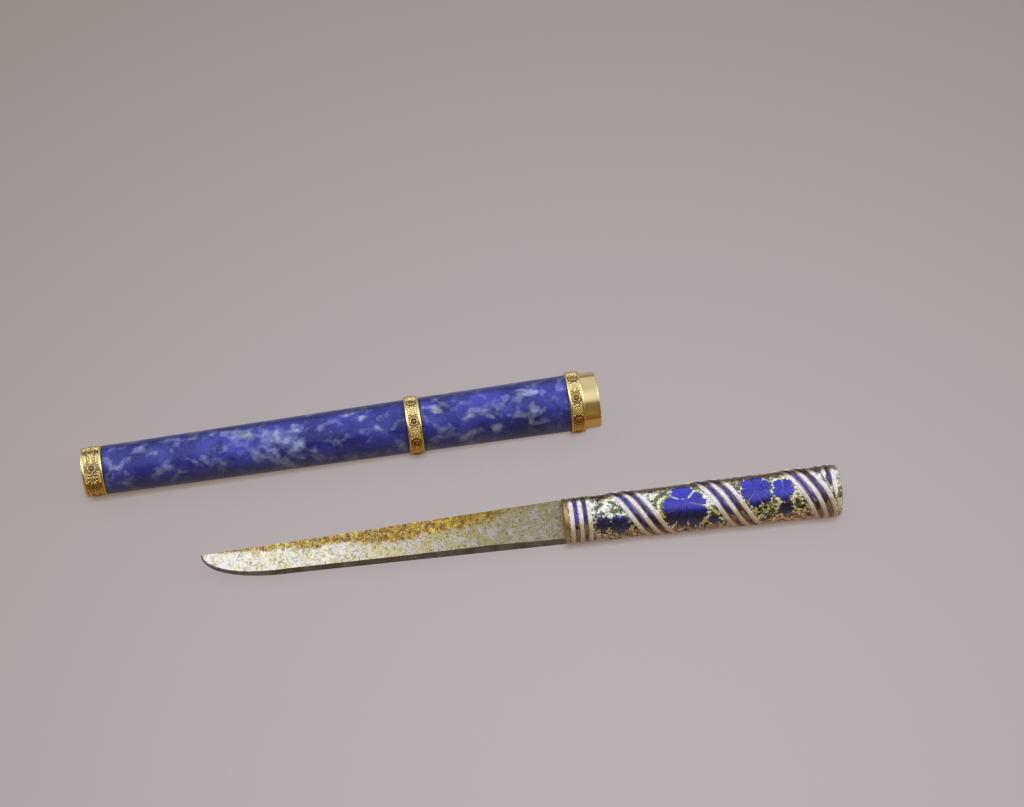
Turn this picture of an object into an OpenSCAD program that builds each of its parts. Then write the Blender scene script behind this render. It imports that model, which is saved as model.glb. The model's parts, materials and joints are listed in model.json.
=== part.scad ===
// Fruit knife with a round stone sheath, in millimetres.
// The sheath and the knife lie side by side on a table, as when the knife has been drawn.
// Each half is modelled along its own axis, station 0 upwards along +Z, and laid down at the end.
// Station 0 is the closed end's face on the sheath, and the front face of the glass on the knife.
// Angles round an axis: 0 is the far side, 90 the top, 180 the near side, once it lies down.

/* [Sheath] */
// Length from the closed end's face to the rim of the mouth
sheath_len = 176.9; // [165:0.1:230]
// Diameter over the stone at the closed end
stone_tip_d = 16.53; // [15.5:0.01:20]
// Thickness of the stone sleeves
stone_wall = 0.85; // [0.6:0.05:1.6]
// Wall of the metal tube that lines the sheath
liner_wall = 0.55; // [0.4:0.05:0.8]
// Film of cement between two pieces that are stuck together
cement_gap = 0.03; // [0.01:0.01:0.08]
// How deep the handle goes into the mouth when the knife is put away
seat_depth = 34; // [20:1:45]
// Room round the raised threads at that depth
seat_clear = 0.17; // [0.05:0.01:0.4]
// Length of the straight part of the bore behind the mouth
mouth_land = 5; // [3:0.5:10]
// Where the tip sleeve meets the long sleeve
sleeve_joint = 47.3; // [25:0.1:80]

/* [Gilt bands] */
// Length of the end cap
cap_len = 7; // [5:0.1:12]
// Thickness of the end cap's plate
cap_plate = 0.8; // [0.5:0.1:1.6]
// How far the end cap's rims stand out from the stone
cap_rise = 0.15; // [0.05:0.05:0.6]
// Width of the middle and throat bands
band_w = 5; // [4:0.1:8]
// Station of the middle band's centre
middle_band_s = 113.1; // [90:0.1:130]
// How far the throat band's near edge lies behind the mouth
throat_band_back = 10.4; // [8:0.1:16]
// How far the bands' rims stand out from the stone
band_rise = 0.88; // [0.6:0.02:1.4]
// How far the chased strip lies below the rims
strip_drop = 0.28; // [0.1:0.02:0.5]
// How far the plain collar's wall lies inside the line of the stone
collar_drop = 0.2; // [0.05:0.05:0.4]

/* [Rosettes] */
// Rosettes round each band
rosette_count = 8; // [6:1:10]
// Angle of the first rosette
rosette_phase = 112; // [100:1:120]
// Diameter of a rosette over its petals
rosette_d = 2.8; // [2:0.1:3]
// Height of the petals above the strip
petal_h = 0.3; // [0.2:0.02:0.4]
// Height of the bead in the middle above the strip
bead_h = 0.46; // [0.4:0.02:0.6]

/* [Handle] */
// Length of the glass, with its rounded butt
handle_len = 92.2; // [80:0.1:110]
// Diameter of the glass at the ferrule
handle_front_d = 14.9; // [13:0.1:17]
// Diameter of the glass at the butt
handle_butt_d = 17.68; // [16:0.01:20]
// Radius of the butt's edge
butt_round = 1.3; // [0.6:0.1:2.5]
// Thickness of the gilt plate between the blade and the glass
ferrule_t = 1.5; // [0.8:0.1:3]
// Diameter of the hole for the tang
tang_hole_d = 6.6; // [6:0.1:9]
// Depth of the hole for the tang
tang_hole_depth = 44; // [30:1:60]

/* [Raised threads] */
// Width of a white thread
white_w = 1.6; // [1.2:0.05:2]
// Width of a coloured thread
colour_w = 1.3; // [0.7:0.05:1.4]
// How far the white threads stand out from the glass
thread_h = 0.28; // [0.16:0.02:0.4]
// How far the coloured threads lie below the white ones
colour_drop = 0.1; // [0.02:0.02:0.14]
// Distance from thread to thread in the end rings
ring_gap = 1.5; // [1.45:0.01:2]
// The same along the axis where the threads wind
spiral_gap = 2.05; // [1.9:0.05:2.6]
// Length of the handle along which the threads wind round once
turn_len = 29.4; // [24:0.2:36]
// Station of the spiral at angle 0
spiral_s = 14.86; // [10:0.02:20]
// Centre of the five threads in the front ring
front_ring_s = 4; // [3.95:0.05:6]
// How far the rear ring's centre lies before the butt
rear_ring_back = 5.3; // [5.2:0.1:8]
// Half the length over which a ring turns into the spiral
ring_blend = 4; // [2:0.5:6]

/* [Blade] */
// Length of the blade from the ferrule to the point
blade_len = 121.8; // [90:0.1:130]
// Height of the spine above the axis at the heel
spine_heel = 7.25; // [5:0.05:7.5]
// Height of the point above the axis
point_up = 2.55; // [0:0.05:5]
// Depth of the edge below the axis at the heel
edge_heel = 7.6; // [5:0.05:7.7]
// Depth of the edge below the axis where the belly begins
edge_belly = 6.7; // [4:0.05:7]
// Length of the curved belly before the point
belly_len = 27.5; // [15:0.5:50]
// Thickness of the spine at the heel
spine_t = 2.4; // [1.8:0.1:3]
// Thickness of the spine at the point
point_t = 1.7; // [1:0.1:2.2]
// Width of the ground bevel at the heel
bevel_heel = 1.5; // [1:0.1:3]
// Width of the ground bevel along the rest of the edge
bevel_w = 2.5; // [1.5:0.1:4]
// Thickness left at the cutting edge
edge_t = 0.12; // [0.06:0.02:0.3]
// Length of the tang inside the glass
tang_len = 40; // [25:1:50]
// Width of the tang at the ferrule
tang_w = 5; // [4:0.1:5.6]
// Thickness of the tang
tang_t = 2; // [1.4:0.1:2.6]
// Angle of the spine round the handle, as the knife lies
spine_angle = 22; // [10:1:40]

/* [Flowers] */
// How far the blossoms stand out from the glass
blossom_h = 0.16; // [0.1:0.02:0.24]
// How far the leaves stand out from the glass
leaf_h = 0.12; // [0.08:0.02:0.2]

/* [How the two lie] */
// Front of the glass, measured along the table from the sheath's closed end
knife_ahead = 159.5; // [120:0.5:220]
// Distance from the sheath's axis to the front of the glass
knife_aside = 43.3; // [30:0.1:80]
// Turn of the knife against the sheath
knife_turn = -2.03; // [-6:0.01:6]

/* [Hidden] */
$fn = 72;

lapis = [0.19, 0.22, 0.55];
gold = [0.80, 0.63, 0.27];
steel = [0.66, 0.62, 0.50];
glass = [0.86, 0.86, 0.76];

// Small distances
slit = 0.04;
over = 1;

// Handle, worked out from its driving sizes
front_r = handle_front_d / 2;
butt_r = handle_butt_d / 2;
handle_slope = (butt_r - front_r) / handle_len;
function glass_r(s) = front_r + handle_slope * s;

// Sheath, built outwards from what the mouth has to take
land_s = sheath_len - mouth_land;
bore_mouth_r = glass_r(seat_depth) + thread_h + seat_clear;
wall_stack = liner_wall + cement_gap + stone_wall;
stone_tip_r = stone_tip_d / 2;
stone_mouth_r = bore_mouth_r + wall_stack;
function stone_r(s) = stone_tip_r + (stone_mouth_r - stone_tip_r) * s / sheath_len;
function liner_r(s) = stone_r(s) - stone_wall - cement_gap;
bore_tip_r = stone_tip_r - wall_stack;

// Bands
rim_r = (band_rise - cement_gap) / 2;
cap_r = stone_r(cap_len) + cap_rise;
middle_r = stone_r(middle_band_s) + band_rise;
throat_band_s = sheath_len - throat_band_back + band_w / 2;
throat_r = stone_r(throat_band_s) + band_rise;
collar_s = throat_band_s + band_w / 2 - 2 * rim_r;
collar_r = stone_mouth_r - collar_drop;

// How the sheath lies: on the first rims of the end cap and of the middle band
rest_cap_s = rim_r;
rest_middle_s = middle_band_s - band_w / 2 + rim_r;
sheath_tilt = atan((middle_r - cap_r) / (rest_middle_s - rest_cap_s));
sheath_z = (cap_r - rim_r) * cos(sheath_tilt) + rim_r - rest_cap_s * sin(sheath_tilt);

// How the knife lies: on its white threads, which follow the cone of the glass
knife_tilt = atan(handle_slope);
knife_z = (front_r + thread_h) * cos(knife_tilt);
knife_x_share = cos(knife_tilt) * cos(knife_turn);
knife_y_share = cos(knife_tilt) * sin(knife_turn);

// The middle of the box round both, which becomes the origin
butt_s = handle_len - butt_round;
low_x = rest_cap_s * cos(sheath_tilt) - (cap_r - rim_r) * sin(sheath_tilt) - rim_r;
high_x = knife_ahead + butt_s * knife_x_share + butt_round
    + (glass_r(butt_s) - butt_round) * sqrt(1 - pow(knife_x_share, 2));
rear_white_s = handle_len - rear_ring_back + 2 * ring_gap;
low_y = -knife_aside + rear_white_s * knife_y_share
    - (glass_r(rear_white_s) + thread_h) * sqrt(1 - pow(knife_y_share, 2));
high_y = throat_r;
middle_x = (low_x + high_x) / 2;
middle_y = (low_y + high_y) / 2;

module lay_sheath() {
    translate([-middle_x, -middle_y, sheath_z])
        rotate([0, -sheath_tilt, 0])
            rotate([90, 0, 90])
                children();
}

module lay_knife() {
    translate([knife_ahead - middle_x, -knife_aside - middle_y, knife_z])
        rotate([0, 0, knife_turn])
            rotate([0, -knife_tilt, 0])
                rotate([90, 0, 90])
                    children();
}

// A tapered tube between two stations, outside radius a to b, inside radius c to d
module cone_tube(s0, s1, a, b, c, d) {
    rotate_extrude()
        polygon([[c, s0], [a, s0], [b, s1], [d, s1]]);
}

module wire_ring(s, r) {
    translate([0, 0, s])
        rotate_extrude()
            translate([r, 0])
                circle(r = rim_r);
}

module sheath_liner() {
    color("goldenrod")
        lay_sheath()
            rotate_extrude()
                polygon([
                    [bore_tip_r, cap_plate + slit],
                    [liner_r(cap_plate), cap_plate + slit],
                    [liner_r(sheath_len), sheath_len],
                    [bore_mouth_r, sheath_len],
                    [bore_mouth_r, land_s]
                ]);
}

module liner_end_disc() {
    color("goldenrod")
        lay_sheath()
            translate([0, 0, cap_plate + slit])
                cylinder(r = bore_tip_r - slit, h = 1.2);
}

module stone_sleeve(s0, s1) {
    color(lapis)
        lay_sheath()
            cone_tube(s0, s1, stone_r(s0), stone_r(s1),
                liner_r(s0) + cement_gap, liner_r(s1) + cement_gap);
}

module tip_sleeve() {
    stone_sleeve(cap_len + slit, sleeve_joint - slit / 2);
}

module long_sleeve() {
    stone_sleeve(sleeve_joint + slit / 2, middle_band_s - slit / 2);
}

module throat_sleeve() {
    stone_sleeve(middle_band_s + slit / 2, collar_s - slit);
}

module end_cap() {
    color(gold)
        lay_sheath()
            difference() {
                union() {
                    translate([0, 0, rim_r])
                        cylinder(r = cap_r - strip_drop, h = cap_len - 2 * rim_r);
                    cylinder(r = cap_r - rim_r, h = cap_len);
                    wire_ring(rim_r, cap_r - rim_r);
                    wire_ring(cap_len - rim_r, cap_r - rim_r);
                }
                cone_tube(cap_plate, cap_len + over,
                    liner_r(cap_plate) + cement_gap, liner_r(cap_len + over) + cement_gap, 0, 0);
            }
}

// A chased strip between two round rims, fitted over the taper of the stone
module gilt_band(centre_s, outer_r) {
    s0 = centre_s - band_w / 2;
    s1 = centre_s + band_w / 2;
    color(gold)
        lay_sheath()
            difference() {
                union() {
                    translate([0, 0, s0 + rim_r])
                        cylinder(r = outer_r - strip_drop, h = band_w - 2 * rim_r);
                    wire_ring(s0 + rim_r, outer_r - rim_r);
                    wire_ring(s1 - rim_r, outer_r - rim_r);
                }
                cone_tube(s0 - over, s1 + over,
                    stone_r(s0 - over) + cement_gap, stone_r(s1 + over) + cement_gap, 0, 0);
            }
}

module middle_band() {
    gilt_band(middle_band_s, middle_r);
}

module throat_band() {
    gilt_band(throat_band_s, throat_r);
}

module mouth_collar() {
    lip = 0.25;
    color(gold)
        lay_sheath()
            rotate_extrude()
                difference() {
                    union() {
                        translate([0, collar_s])
                            square([collar_r, sheath_len - collar_s - lip]);
                        square([collar_r - lip, sheath_len]);
                        translate([collar_r - lip, sheath_len - lip])
                            circle(r = lip);
                    }
                    translate([0, -over])
                        square([collar_r, collar_s + over]);
                    polygon([
                        [0, collar_s - over],
                        [liner_r(collar_s - over) + cement_gap, collar_s - over],
                        [liner_r(sheath_len + over) + cement_gap, sheath_len + over],
                        [0, sheath_len + over]
                    ]);
                }
}

// Rosettes: petals round a groove, a bead in the middle, enamel in the groove
groove_in = 0.17 * rosette_d;
groove_out = 0.35 * rosette_d;
groove_floor = petal_h / 3;

module rosette() {
    petal_r = 0.15 * rosette_d;
    bead_r = 0.14 * rosette_d;
    difference() {
        linear_extrude(petal_h)
            union() {
                circle(r = 0.4 * rosette_d);
                for (i = [0:7])
                    rotate(45 * i)
                        translate([rosette_d / 2 - petal_r, 0])
                            circle(r = petal_r, $fn = 24);
            }
        translate([0, 0, groove_floor])
            difference() {
                cylinder(r = groove_out, h = petal_h);
                cylinder(r = groove_in, h = petal_h);
            }
    }
    translate([0, 0, petal_h / 2])
        cylinder(r = bead_r, h = bead_h - petal_h / 2);
}

module rosette_enamel() {
    translate([0, 0, groove_floor + slit / 2])
        difference() {
            cylinder(r = groove_out - slit / 2, h = petal_h * 0.5);
            translate([0, 0, -over])
                cylinder(r = groove_in + slit / 2, h = petal_h + 2 * over);
        }
}

module ring_of_rosettes(centre_s, strip_r) {
    lay_sheath()
        for (i = [0:rosette_count - 1])
            rotate(rosette_phase + 360 / rosette_count * i)
                translate([strip_r + slit / 2, 0, centre_s])
                    rotate([0, 90, 0])
                        children();
}

module end_cap_rosettes() {
    color(gold) ring_of_rosettes(cap_len / 2, cap_r - strip_drop) rosette();
}

module end_cap_enamel() {
    color("saddlebrown") ring_of_rosettes(cap_len / 2, cap_r - strip_drop) rosette_enamel();
}

module middle_band_rosettes() {
    color(gold) ring_of_rosettes(middle_band_s, middle_r - strip_drop) rosette();
}

module middle_band_enamel() {
    color("saddlebrown") ring_of_rosettes(middle_band_s, middle_r - strip_drop) rosette_enamel();
}

module throat_band_rosettes() {
    color(gold) ring_of_rosettes(throat_band_s, throat_r - strip_drop) rosette();
}

module throat_band_enamel() {
    color("brown") ring_of_rosettes(throat_band_s, throat_r - strip_drop) rosette_enamel();
}

// Blade. A section joins a point of the spine to a point of the edge, with the bevel's
// shoulder between them. Stations run down from the ferrule, so they are negative.
heel_s = -ferrule_t - slit;
point_s = heel_s - blade_len;
belly_s = point_s + belly_len;
belly_power = 2.6;
straight_steps = 10;
belly_steps = 16;

function spine_at(s) = spine_heel + (point_up - spine_heel) * (heel_s - s) / blade_len;
function spine_t_at(s) = spine_t + (point_t - spine_t) * (heel_s - s) / blade_len;
function edge_at(s) = -edge_heel + (edge_heel - edge_belly) * (heel_s - s) / (heel_s - belly_s);
function straight_pair(f) =
    let (s = heel_s + (belly_s - heel_s) * f)
    [[s, spine_at(s)], [s, edge_at(s)]];
function belly_pair(f) =
    let (
        turn = 90 * f,
        along = pow(sin(turn), 2 / belly_power),
        down = pow(cos(turn), 2 / belly_power),
        back = belly_s - (belly_len - point_t) * f
    )
    [[back, spine_at(back)],
     [belly_s - belly_len * along, point_up - slit - (point_up + edge_belly) * down]];
function bevel_at(f) = bevel_heel + (bevel_w - bevel_heel) * min(1, 4 * f);
blade_pairs = [
    for (i = [0:straight_steps - 1]) straight_pair(i / straight_steps),
    for (i = [0:belly_steps]) belly_pair(i / belly_steps)
];
pair_count = len(blade_pairs);
function blade_section(i) =
    let (
        spine = blade_pairs[i][0],
        edge = blade_pairs[i][1],
        t = spine_t_at(spine[0]) / 2,
        width = norm(spine - edge),
        share = min(bevel_at(i / pair_count), 0.4 * width) / width,
        shoulder = edge + (spine - edge) * share,
        shoulder_t = t * (1 - 0.05 * (1 - share))
    )
    [
        [spine[1], t, spine[0]],
        [shoulder[1], shoulder_t, shoulder[0]],
        [edge[1], edge_t / 2, edge[0]],
        [edge[1], -edge_t / 2, edge[0]],
        [shoulder[1], -shoulder_t, shoulder[0]],
        [spine[1], -t, spine[0]]
    ];

// A closed skin over a row of sections that all have the same number of points
module skin(sections) {
    n = len(sections);
    m = len(sections[0]);
    points = [for (section = sections) for (p = section) p];
    sides = [
        for (i = [0:n - 2])
            for (j = [0:m - 1])
                for (half = [0, 1])
                    half == 0
                        ? [i * m + j, i * m + (j + 1) % m, (i + 1) * m + (j + 1) % m]
                        : [i * m + j, (i + 1) * m + (j + 1) % m, (i + 1) * m + j]
    ];
    first = [for (j = [0:m - 1]) m - 1 - j];
    last = [for (j = [0:m - 1]) (n - 1) * m + j];
    polyhedron(points, concat(sides, [first, last]));
}

module tang(extra) {
    end_w = tang_w * 0.6;
    rotate([90, 0, 0])
        linear_extrude(tang_t + 2 * extra, center = true)
            polygon([
                [-tang_w / 2 - extra, heel_s - over],
                [tang_w / 2 + extra, heel_s - over],
                [end_w / 2 + extra, tang_len + extra],
                [-end_w / 2 - extra, tang_len + extra]
            ]);
}

module blade() {
    color(steel)
        lay_knife()
            rotate(spine_angle)
                union() {
                    skin([for (i = [0:pair_count - 1]) blade_section(i)]);
                    tang(0);
                }
}

module ferrule() {
    edge = ferrule_t / 4;
    plate_r = front_r + edge / 2;
    color("peru")
        lay_knife()
            difference() {
                translate([0, 0, -ferrule_t]) {
                    translate([0, 0, edge])
                        cylinder(r = plate_r, h = ferrule_t - slit - 2 * edge);
                    cylinder(r = plate_r - edge, h = ferrule_t - slit);
                    for (s = [edge, ferrule_t - slit - edge])
                        translate([0, 0, s])
                            rotate_extrude()
                                translate([plate_r - edge, 0])
                                    circle(r = edge);
                }
                rotate(spine_angle)
                    tang(slit);
            }
}

module tang_cement() {
    color("darkkhaki")
        lay_knife()
            difference() {
                translate([0, 0, slit])
                    cylinder(d = tang_hole_d - 2 * cement_gap, h = tang_hole_depth - 2 * slit);
                rotate(spine_angle)
                    tang(cement_gap);
            }
}

module handle_glass() {
    edge_r = glass_r(butt_s);
    color(glass)
        lay_knife()
            difference() {
                union() {
                    cylinder(r1 = front_r, r2 = edge_r, h = butt_s);
                    translate([0, 0, butt_s - over])
                        cylinder(r = edge_r - butt_round, h = butt_round + over);
                    translate([0, 0, butt_s])
                        rotate_extrude()
                            intersection() {
                                translate([edge_r - butt_round, 0])
                                    circle(r = butt_round);
                                square([edge_r, butt_round]);
                            }
                }
                translate([0, 0, -over])
                    cylinder(d = tang_hole_d, h = tang_hole_depth + over);
            }
}

// Raised threads: five side by side, which start as a ring at the ferrule, wind along the
// glass and close as a ring at the butt. Both rings end where they meet the spiral again.
rear_ring_s = handle_len - rear_ring_back;
step_angle = 12;
function clamp01(v) = max(0, min(1, v));
function run(a) = spiral_s + turn_len * a / 360;
function eased(v) =
    v <= -ring_blend ? 0 : v >= ring_blend ? v : pow(v + ring_blend, 2) / (4 * ring_blend);
function ribbon_s(a) =
    rear_ring_s - eased(rear_ring_s - front_ring_s - eased(run(a) - front_ring_s));
function winding(a) =
    min(clamp01((run(a) - front_ring_s + ring_blend) / (2 * ring_blend)),
        clamp01((rear_ring_s - run(a) + ring_blend) / (2 * ring_blend)));
function thread_gap(a) = ring_gap + (spiral_gap - ring_gap) * winding(a);
function thread_s(k, a) = ribbon_s(a) + k * thread_gap(a);
function angle_at(s) = (s - spiral_s) * 360 / turn_len;
function width_of(k) = k % 2 == 0 ? white_w : colour_w;
function low_side(k, a) = thread_s(k, a) - half_across(k, a);
function high_side(k, a) = thread_s(k, a) + half_across(k, a);
function tail(k, a) =
    low_side(k, a) - 2 * slit < high_side(2, a - 360) ? a - 3 : tail(k, a + 3);
function head(k, a) =
    high_side(k, a) + 2 * slit > low_side(-2, a + 360) ? a + 3 : head(k, a - 3);
function half_across(k, a) =
    let (rise = turn_len / (2 * PI * glass_r(ribbon_s(a))) * winding(a))
    width_of(k) / 2 * sqrt(1 + rise * rise);
function thread_section(k, a, h) =
    let (
        s = thread_s(k, a),
        half = half_across(k, a),
        seat = glass_r(s) / cos(step_angle / 2) + slit / 2
    )
    [
        for (p = [[-1, 0], [-0.62, 0.75], [0, 1], [0.62, 0.75], [1, 0]])
            let (r = seat + p[1] * h, z = s + p[0] * half)
            [r * cos(a), r * sin(a), z]
    ];

module thread(k, h) {
    from = head(k, angle_at(front_ring_s - ring_blend));
    to = tail(k, angle_at(rear_ring_s + ring_blend));
    steps = ceil((to - from) / step_angle);
    lay_knife()
        skin([for (i = [0:steps]) thread_section(k, from + (to - from) * i / steps, h)]);
}

module white_threads() {
    color("white")
        for (k = [-2, 0, 2])
            thread(k, thread_h);
}

module blue_thread() {
    color("slateblue") thread(-1, thread_h - colour_drop);
}

module brown_thread() {
    color([0.28, 0.20, 0.24]) thread(1, thread_h - colour_drop);
}

// Flowers and leaves: flat outlines pressed onto the cone of the glass, in the field between
// two turns of the threads. Each row is the turn of the threads behind it, the angle, how far
// it lies across the field and its size, both as shares of the field's free width along the
// handle, and then the petals or the leaf's own turn.
module on_glass(h) {
    lay_knife()
        intersection() {
            difference() {
                cone_tube(0, butt_s, glass_r(0) + h, glass_r(butt_s) + h, 0, 0);
                cone_tube(-over, butt_s + over,
                    glass_r(-over) + slit / 4, glass_r(butt_s + over) + slit / 4, 0, 0);
            }
            union() children();
        }
}

function field_s(place) = high_side(2, place[1] + 360 * place[0]);
function field_w(place) = low_side(-2, place[1] + 360 * (place[0] + 1)) - field_s(place);

leaf_share = 0.36;

module pressed(place) {
    rotate(place[1])
        translate([front_r / 2, 0, field_s(place) + field_w(place) * place[2]])
            rotate([0, 90, 0])
                linear_extrude(butt_r)
                    children();
}

module blossom(petals, d) {
    petal_r = d * 0.21;
    circle(r = d * 0.2);
    for (i = [0:petals - 1])
        rotate(360 / petals * i + 18)
            translate([d / 2 - petal_r, 0])
                circle(r = petal_r);
}

// A pointed leaf, from two circles that cross
module leaf(length) {
    width = leaf_share * length;
    big = (pow(length, 2) + pow(width, 2)) / (4 * width);
    intersection() {
        translate([0, big - width / 2]) circle(r = big);
        translate([0, width / 2 - big]) circle(r = big);
    }
}

blue_places = [
    [-1, 143, 0.668, 0.467, 5], [0, 112, 0.525, 0.641, 7], [1, 94, 0.324, 0.516, 6],
    [1, 101, 0.773, 0.361, 5], [-1, 304, 0.478, 0.487, 6], [0, 300, 0.474, 0.579, 7],
    [0, 235, 0.33, 0.289, 5], [1, 262, 0.465, 0.612, 6]
];
violet_places = [
    [-1, 134, 0.282, 0.324, 5], [1, 146, 0.587, 0.206, 5], [0, 155, 0.81, 0.155, 5],
    [-1, 215, 0.359, 0.237, 5], [0, 330, 0.784, 0.237, 5], [-1, 350, 0.67, 0.217, 5]
];
leaf_places = [
    [-1, 88, 0.265, 0.435, 35], [-1, 82, 0.808, 0.413, -30], [-1, 106, 0.735, 0.336, 10],
    [0, 87, 0.143, 0.196, 65], [0, 69, 0.386, 0.185, 20], [0, 58, 0.567, 0.185, -20],
    [0, 106, 0.138, 0.176, 75], [1, 42, 0.463, 0.176, 35], [1, 156, 0.228, 0.188, -10],
    [1, 139, 0.843, 0.165, 50], [1, 66, 0.846, 0.176, -20], [1, 166, 0.624, 0.19, 15],
    [-1, 262, 0.342, 0.196, 30], [-1, 316, 0.769, 0.185, -40], [0, 280, 0.201, 0.196, 20],
    [0, 286, 0.898, 0.176, -35], [0, 357, 0.175, 0.176, 60], [1, 304, 0.676, 0.356, 15],
    [-1, 345, 0.164, 0.176, 0]
];
gilt_places = [
    [0, 172, 0.117, 0.166, 20], [0, 182, 0.345, 0.176, -15], [0, 178, 0.618, 0.166, 40],
    [1, 180, 0.141, 0.174, -20], [1, 184, 0.389, 0.176, 10], [-1, 172, 0.326, 0.198, -30],
    [0, 214, 0.149, 0.176, 20], [1, 222, 0.177, 0.217, -10], [-1, 352, 0.37, 0.176, 45],
    [1, 10, 0.324, 0.185, 30], [1, 20, 0.779, 0.176, -20], [0, 20, 0.788, 0.176, 10]
];

module blue_blossoms() {
    color("mediumblue")
        on_glass(blossom_h)
            for (p = blue_places)
                pressed(p) blossom(p[4], field_w(p) * p[3]);
}

module violet_blossoms() {
    color("indigo")
        on_glass(blossom_h)
            for (p = violet_places)
                pressed(p) blossom(p[4], field_w(p) * p[3]);
}

module leaves(places) {
    on_glass(leaf_h)
        for (p = places)
            pressed(p)
                rotate(p[4])
                    leaf(field_w(p) * p[3]);
}

module green_leaves() {
    color("darkolivegreen") leaves(leaf_places);
}

module gilt_leaves() {
    color("darkgoldenrod") leaves(gilt_places);
}

sheath_liner();
liner_end_disc();
tip_sleeve();
long_sleeve();
throat_sleeve();
end_cap();
end_cap_rosettes();
end_cap_enamel();
middle_band();
middle_band_rosettes();
middle_band_enamel();
throat_band();
throat_band_rosettes();
throat_band_enamel();
mouth_collar();
blade();
ferrule();
tang_cement();
handle_glass();
white_threads();
blue_thread();
brown_thread();
blue_blossoms();
violet_blossoms();
green_leaves();
gilt_leaves();
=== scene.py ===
import json
import math

import bmesh
import bpy
import numpy as np
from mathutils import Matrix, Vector


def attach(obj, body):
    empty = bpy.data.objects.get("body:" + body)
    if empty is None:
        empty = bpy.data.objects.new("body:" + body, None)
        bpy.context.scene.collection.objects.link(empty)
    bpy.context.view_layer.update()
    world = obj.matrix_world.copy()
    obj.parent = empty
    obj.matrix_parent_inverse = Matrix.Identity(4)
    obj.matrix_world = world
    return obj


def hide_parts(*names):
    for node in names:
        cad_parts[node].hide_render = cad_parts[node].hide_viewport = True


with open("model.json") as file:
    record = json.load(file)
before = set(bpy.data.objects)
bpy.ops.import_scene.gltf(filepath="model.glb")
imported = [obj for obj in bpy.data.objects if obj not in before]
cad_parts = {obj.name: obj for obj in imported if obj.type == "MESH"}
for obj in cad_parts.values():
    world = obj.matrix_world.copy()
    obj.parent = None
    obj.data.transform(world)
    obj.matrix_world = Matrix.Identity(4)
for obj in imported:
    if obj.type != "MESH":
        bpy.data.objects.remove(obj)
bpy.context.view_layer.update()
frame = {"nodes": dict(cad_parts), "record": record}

MM = 0.001
scene = bpy.context.scene

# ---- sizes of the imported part, mm
SHEATH_LEN = 176.9
STONE_TIP_R = 8.265
STONE_MOUTH_R = 9.8426
STONE_WALL = 0.85
CEMENT = 0.03
SLIT = 0.04
JOINT_S = 47.3
CAP_LEN = 7.0
CAP_PLATE = 0.8
CAP_RISE = 0.15
BAND_W = 5.0
MIDDLE_S = 113.1
THROAT_S = 169.0
BAND_RISE = 0.88
STRIP_DROP = 0.28
RIM_R = 0.425
COLLAR_DROP = 0.2
ROSETTES = 8
ROSETTE_PHASE = 112.0
ROSETTE_D = 2.8
PETAL_H = 0.3
BEAD_H = 0.46
HANDLE_LEN = 92.2
FRONT_R = 7.45
BUTT_R = 8.84
BUTT_ROUND = 1.3
FERRULE_T = 1.5
TANG_HOLE_R = 3.3
TANG_HOLE_DEPTH = 44.0
WHITE_W = 1.6
COLOUR_W = 1.3
THREAD_H = 0.28
COLOUR_DROP = 0.1
RING_GAP = 1.5
SPIRAL_GAP = 2.05
TURN_LEN = 29.4
SPIRAL_S = 14.86
FRONT_RING_S = 4.0
REAR_RING_S = HANDLE_LEN - 5.3
RING_BLEND = 4.0
BLOSSOM_H = 0.16
LEAF_H = 0.12
BLADE_LEN = 121.8
SPINE_HEEL = 7.25
POINT_UP = 2.55
EDGE_HEEL = 7.6
EDGE_BELLY = 6.7
BELLY_LEN = 27.5
BELLY_POWER = 2.15
SPINE_T = 2.4
POINT_T = 1.7
EDGE_T = 0.12
SPINE_ANGLE = 22.0

HEEL_S = -FERRULE_T - SLIT
POINT_S = HEEL_S - BLADE_LEN
BELLY_S = POINT_S + BELLY_LEN


def stone_r(s):
    return STONE_TIP_R + (STONE_MOUTH_R - STONE_TIP_R) * s / SHEATH_LEN


def glass_r(s):
    return FRONT_R + (BUTT_R - FRONT_R) * s / HANDLE_LEN


# ---- the two axes, from the record
class Axis:
    """One body's own axis. Angle 0 is the far side and 90 the top, as the part lies."""

    def __init__(self, body, point, along, station):
        self.body = body
        self.along = np.array(Vector(along).normalized())
        self.far = np.array(Vector((-self.along[1], self.along[0], 0)).normalized())
        self.up = np.cross(self.along, self.far)
        self.zero = np.array(point) / MM - self.along * station

    def at(self, s, far, up):
        """Points in metres, for stations and distances to the far side and up, in mm."""
        s, far, up = (v[..., None] for v in np.broadcast_arrays(s, far, up))
        return (self.zero + s * self.along + far * self.far + up * self.up) * MM

    def place(self, s, angle, r):
        """Points for stations, angles in degrees and radii."""
        angle = np.radians(angle)
        return self.at(s, r * np.cos(angle), r * np.sin(angle))

    def turned(self, s, out, side, angle):
        """Points so far out in the direction of one angle and so far to the side of it."""
        c, d = math.cos(math.radians(angle)), math.sin(math.radians(angle))
        return self.at(s, out * c - side * d, out * d + side * c)


mounts = {m["name"]: m for m in frame["record"]["mounts"]}
cap_face, butt_face = mounts["end_cap_face"], mounts["butt_face"]
sheath = Axis("sheath", cap_face["pos_m"], [-c for c in cap_face["axis"]], 0)
knife = Axis("knife", butt_face["pos_m"], butt_face["axis"], HANDLE_LEN)


# ---- arrays
def unit(v):
    return np.clip(v, 0, 1)


def stacked(*parts):
    """Arrays and plain numbers of one shape, side by side along a new last axis."""
    return np.stack(np.broadcast_arrays(*parts), -1)


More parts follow.
